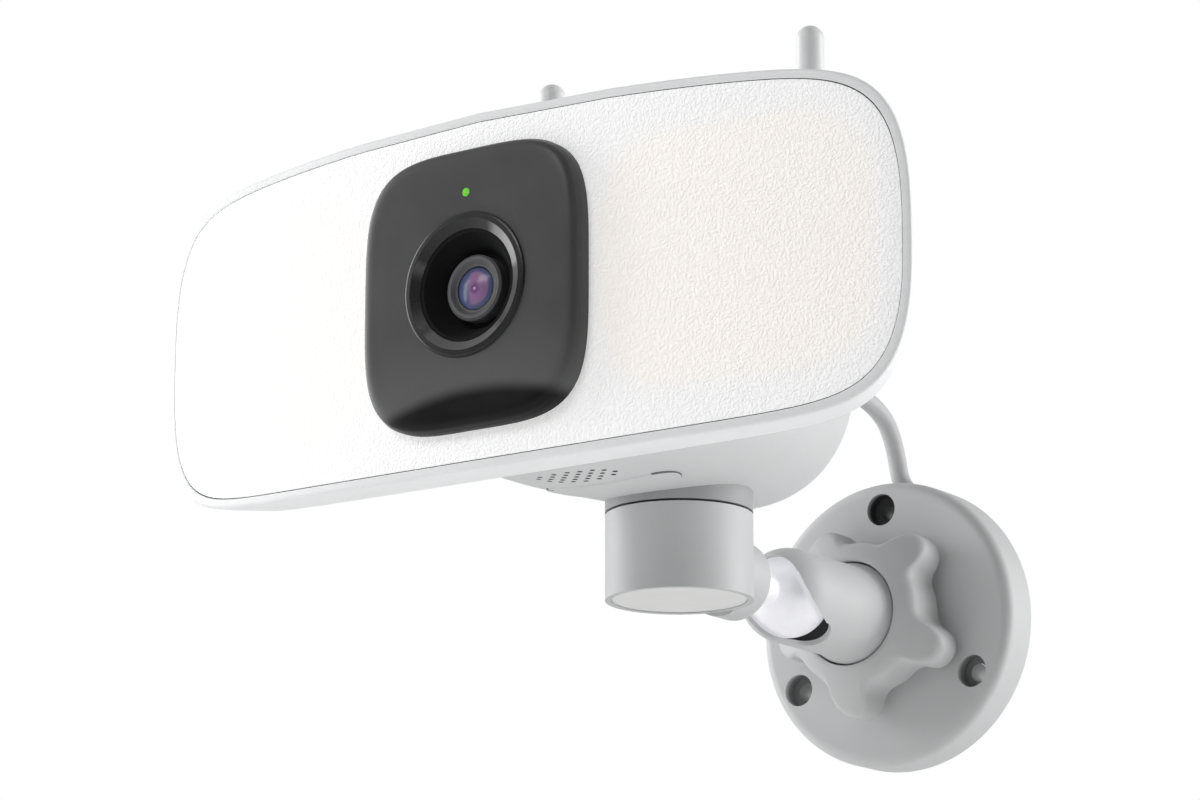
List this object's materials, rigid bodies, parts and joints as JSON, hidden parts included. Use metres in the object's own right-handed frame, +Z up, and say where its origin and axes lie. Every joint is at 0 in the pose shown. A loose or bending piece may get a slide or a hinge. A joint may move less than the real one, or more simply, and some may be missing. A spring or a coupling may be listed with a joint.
{
  "type": "floodlight security camera",
  "caption": "Wide bowed light panel with a central camera and two folding antennas on a swivelling post, held by a ball joint and star knob on a round wall plate.",
  "frame": {"origin": "centre of the wall plate's back face, on the wall plane", "axes": "+Z up, -Y out of the wall towards the scene, +X to the right seen from the front"},
  "size_m": [0.2122, 0.1916, 0.1665],
  "materials": {
    "white_plastic": "fine satin moulded texture, cool white",
    "panel_diffuser": "translucent opal white with a fine orange-peel grain",
    "dark_cover": "satin charcoal",
    "black_plastic": "matte black",
    "barrel_black": "semi-gloss dark grey",
    "dark_rubber": "matte rubber",
    "bright_steel": "polished",
    "zinc_steel": "zinc plated",
    "cast_aluminium": "die cast",
    "circuit_board": "solder mask",
    "board_white": "white solder mask",
    "led_phosphor": "phosphor",
    "silicon": "packaged sensor",
    "coated_glass": "purple anti-reflection coating",
    "status_green": "lit green light pipe",
    "lead_jacket": "soft jacket"
  },
  "bodies": {
    "wall_base": {"wall_plate": "white_plastic", "wall_gasket": "dark_rubber", "lead_grommet": "lead_jacket", "lead_connector": "black_plastic", "power_lead": "lead_jacket"},
    "lock_knob": {"star_knob": "white_plastic"},
    "socket": {"socket_sleeve": "white_plastic", "ball_seat": "black_plastic", "seat_spring": "zinc_steel", "clamp_pusher": "zinc_steel"},
    "ball": {"pivot_ball": "bright_steel"},
    "arm": {"ball_stem": "bright_steel", "stem_nut": "zinc_steel", "arm_elbow": "white_plastic", "post_cap": "white_plastic", "pan_washer": "dark_rubber", "pan_spring": "zinc_steel"},
    "flap": {"service_flap": "white_plastic"},
    "reset_key": {"reset_button": "black_plastic"},
    "left_antenna": {"antenna_left": "white_plastic"},
    "right_antenna": {"antenna_right": "white_plastic"},
    "head": {"pan_collar": "white_plastic", "pan_bolt": "zinc_steel", "pan_nut": "zinc_steel", "rear_housing": "white_plastic", "back_cover": "white_plastic", "front_frame": "white_plastic", "diffuser": "panel_diffuser", "diffuser_seal": "dark_rubber", "heat_sink": "cast_aluminium", "led_boards": "board_white", "led_chips": "led_phosphor", "led_reflectors": "white_plastic", "camera_cover": "dark_cover", "lens_trim": "dark_cover", "lens_recess": "black_plastic", "lens_barrel": "barrel_black", "front_lens": "coated_glass", "rear_lens": "coated_glass", "lens_holder": "black_plastic", "image_sensor": "silicon", "sensor_board": "circuit_board", "status_light": "status_green", "main_board": "circuit_board", "radio_shield": "zinc_steel", "speaker": "black_plastic", "speaker_gasket": "dark_rubber", "card_slot": "zinc_steel", "antenna_bases": "white_plastic", "antenna_pins": "zinc_steel", "strain_relief": "white_plastic", "housing_screws": "zinc_steel", "frame_screws": "zinc_steel"}
  },
  "joints": [
    {"name": "knob_turn", "type": "hinge", "parent": "wall_base", "child": "lock_knob", "pos_m": [0, -0.02, 0], "axis": [0, -1, 0], "range_deg": [0, 270]},
    {"name": "socket_turn", "type": "hinge", "parent": "wall_base", "child": "socket", "pos_m": [0, -0.03, 0], "axis": [0, -1, 0], "range_deg": [-90, 90], "deforming": ["power_lead"]},
    {"name": "ball_tilt", "type": "hinge", "parent": "socket", "child": "ball", "pos_m": [0, -0.057, 0], "axis": [0.8829, 0, 0.4695], "range_deg": [-18, 60], "deforming": ["power_lead"]},
    {"name": "ball_twist", "type": "hinge", "parent": "ball", "child": "arm", "pos_m": [0, -0.057, 0], "axis": [0, -1, 0], "range_deg": [-90, 90], "deforming": ["power_lead"]},
    {"name": "pan", "type": "hinge", "parent": "arm", "child": "head", "pos_m": [0, -0.1052, 0.0114], "axis": [0, 0, 1], "range_deg": [-80, 80], "deforming": ["power_lead"]},
    {"name": "flap_open", "type": "hinge", "parent": "head", "child": "flap", "pos_m": [0, -0.1386, 0.0144], "axis": [-1, 0, 0], "range_deg": [0, 100]},
    {"name": "reset_press", "type": "slide", "parent": "head", "child": "reset_key", "axis": [0, 0, 1], "range_m": [0, 0.0006], "stiffness_N_per_m": 250},
    {"name": "left_antenna_fold", "type": "hinge", "parent": "head", "child": "left_antenna", "pos_m": [-0.0388, -0.1046, 0.0835], "axis": [-1, 0, 0], "range_deg": [0, 90]},
    {"name": "right_antenna_fold", "type": "hinge", "parent": "head", "child": "right_antenna", "pos_m": [0.0388, -0.1046, 0.0835], "axis": [-1, 0, 0], "range_deg": [0, 90]}
  ]
}
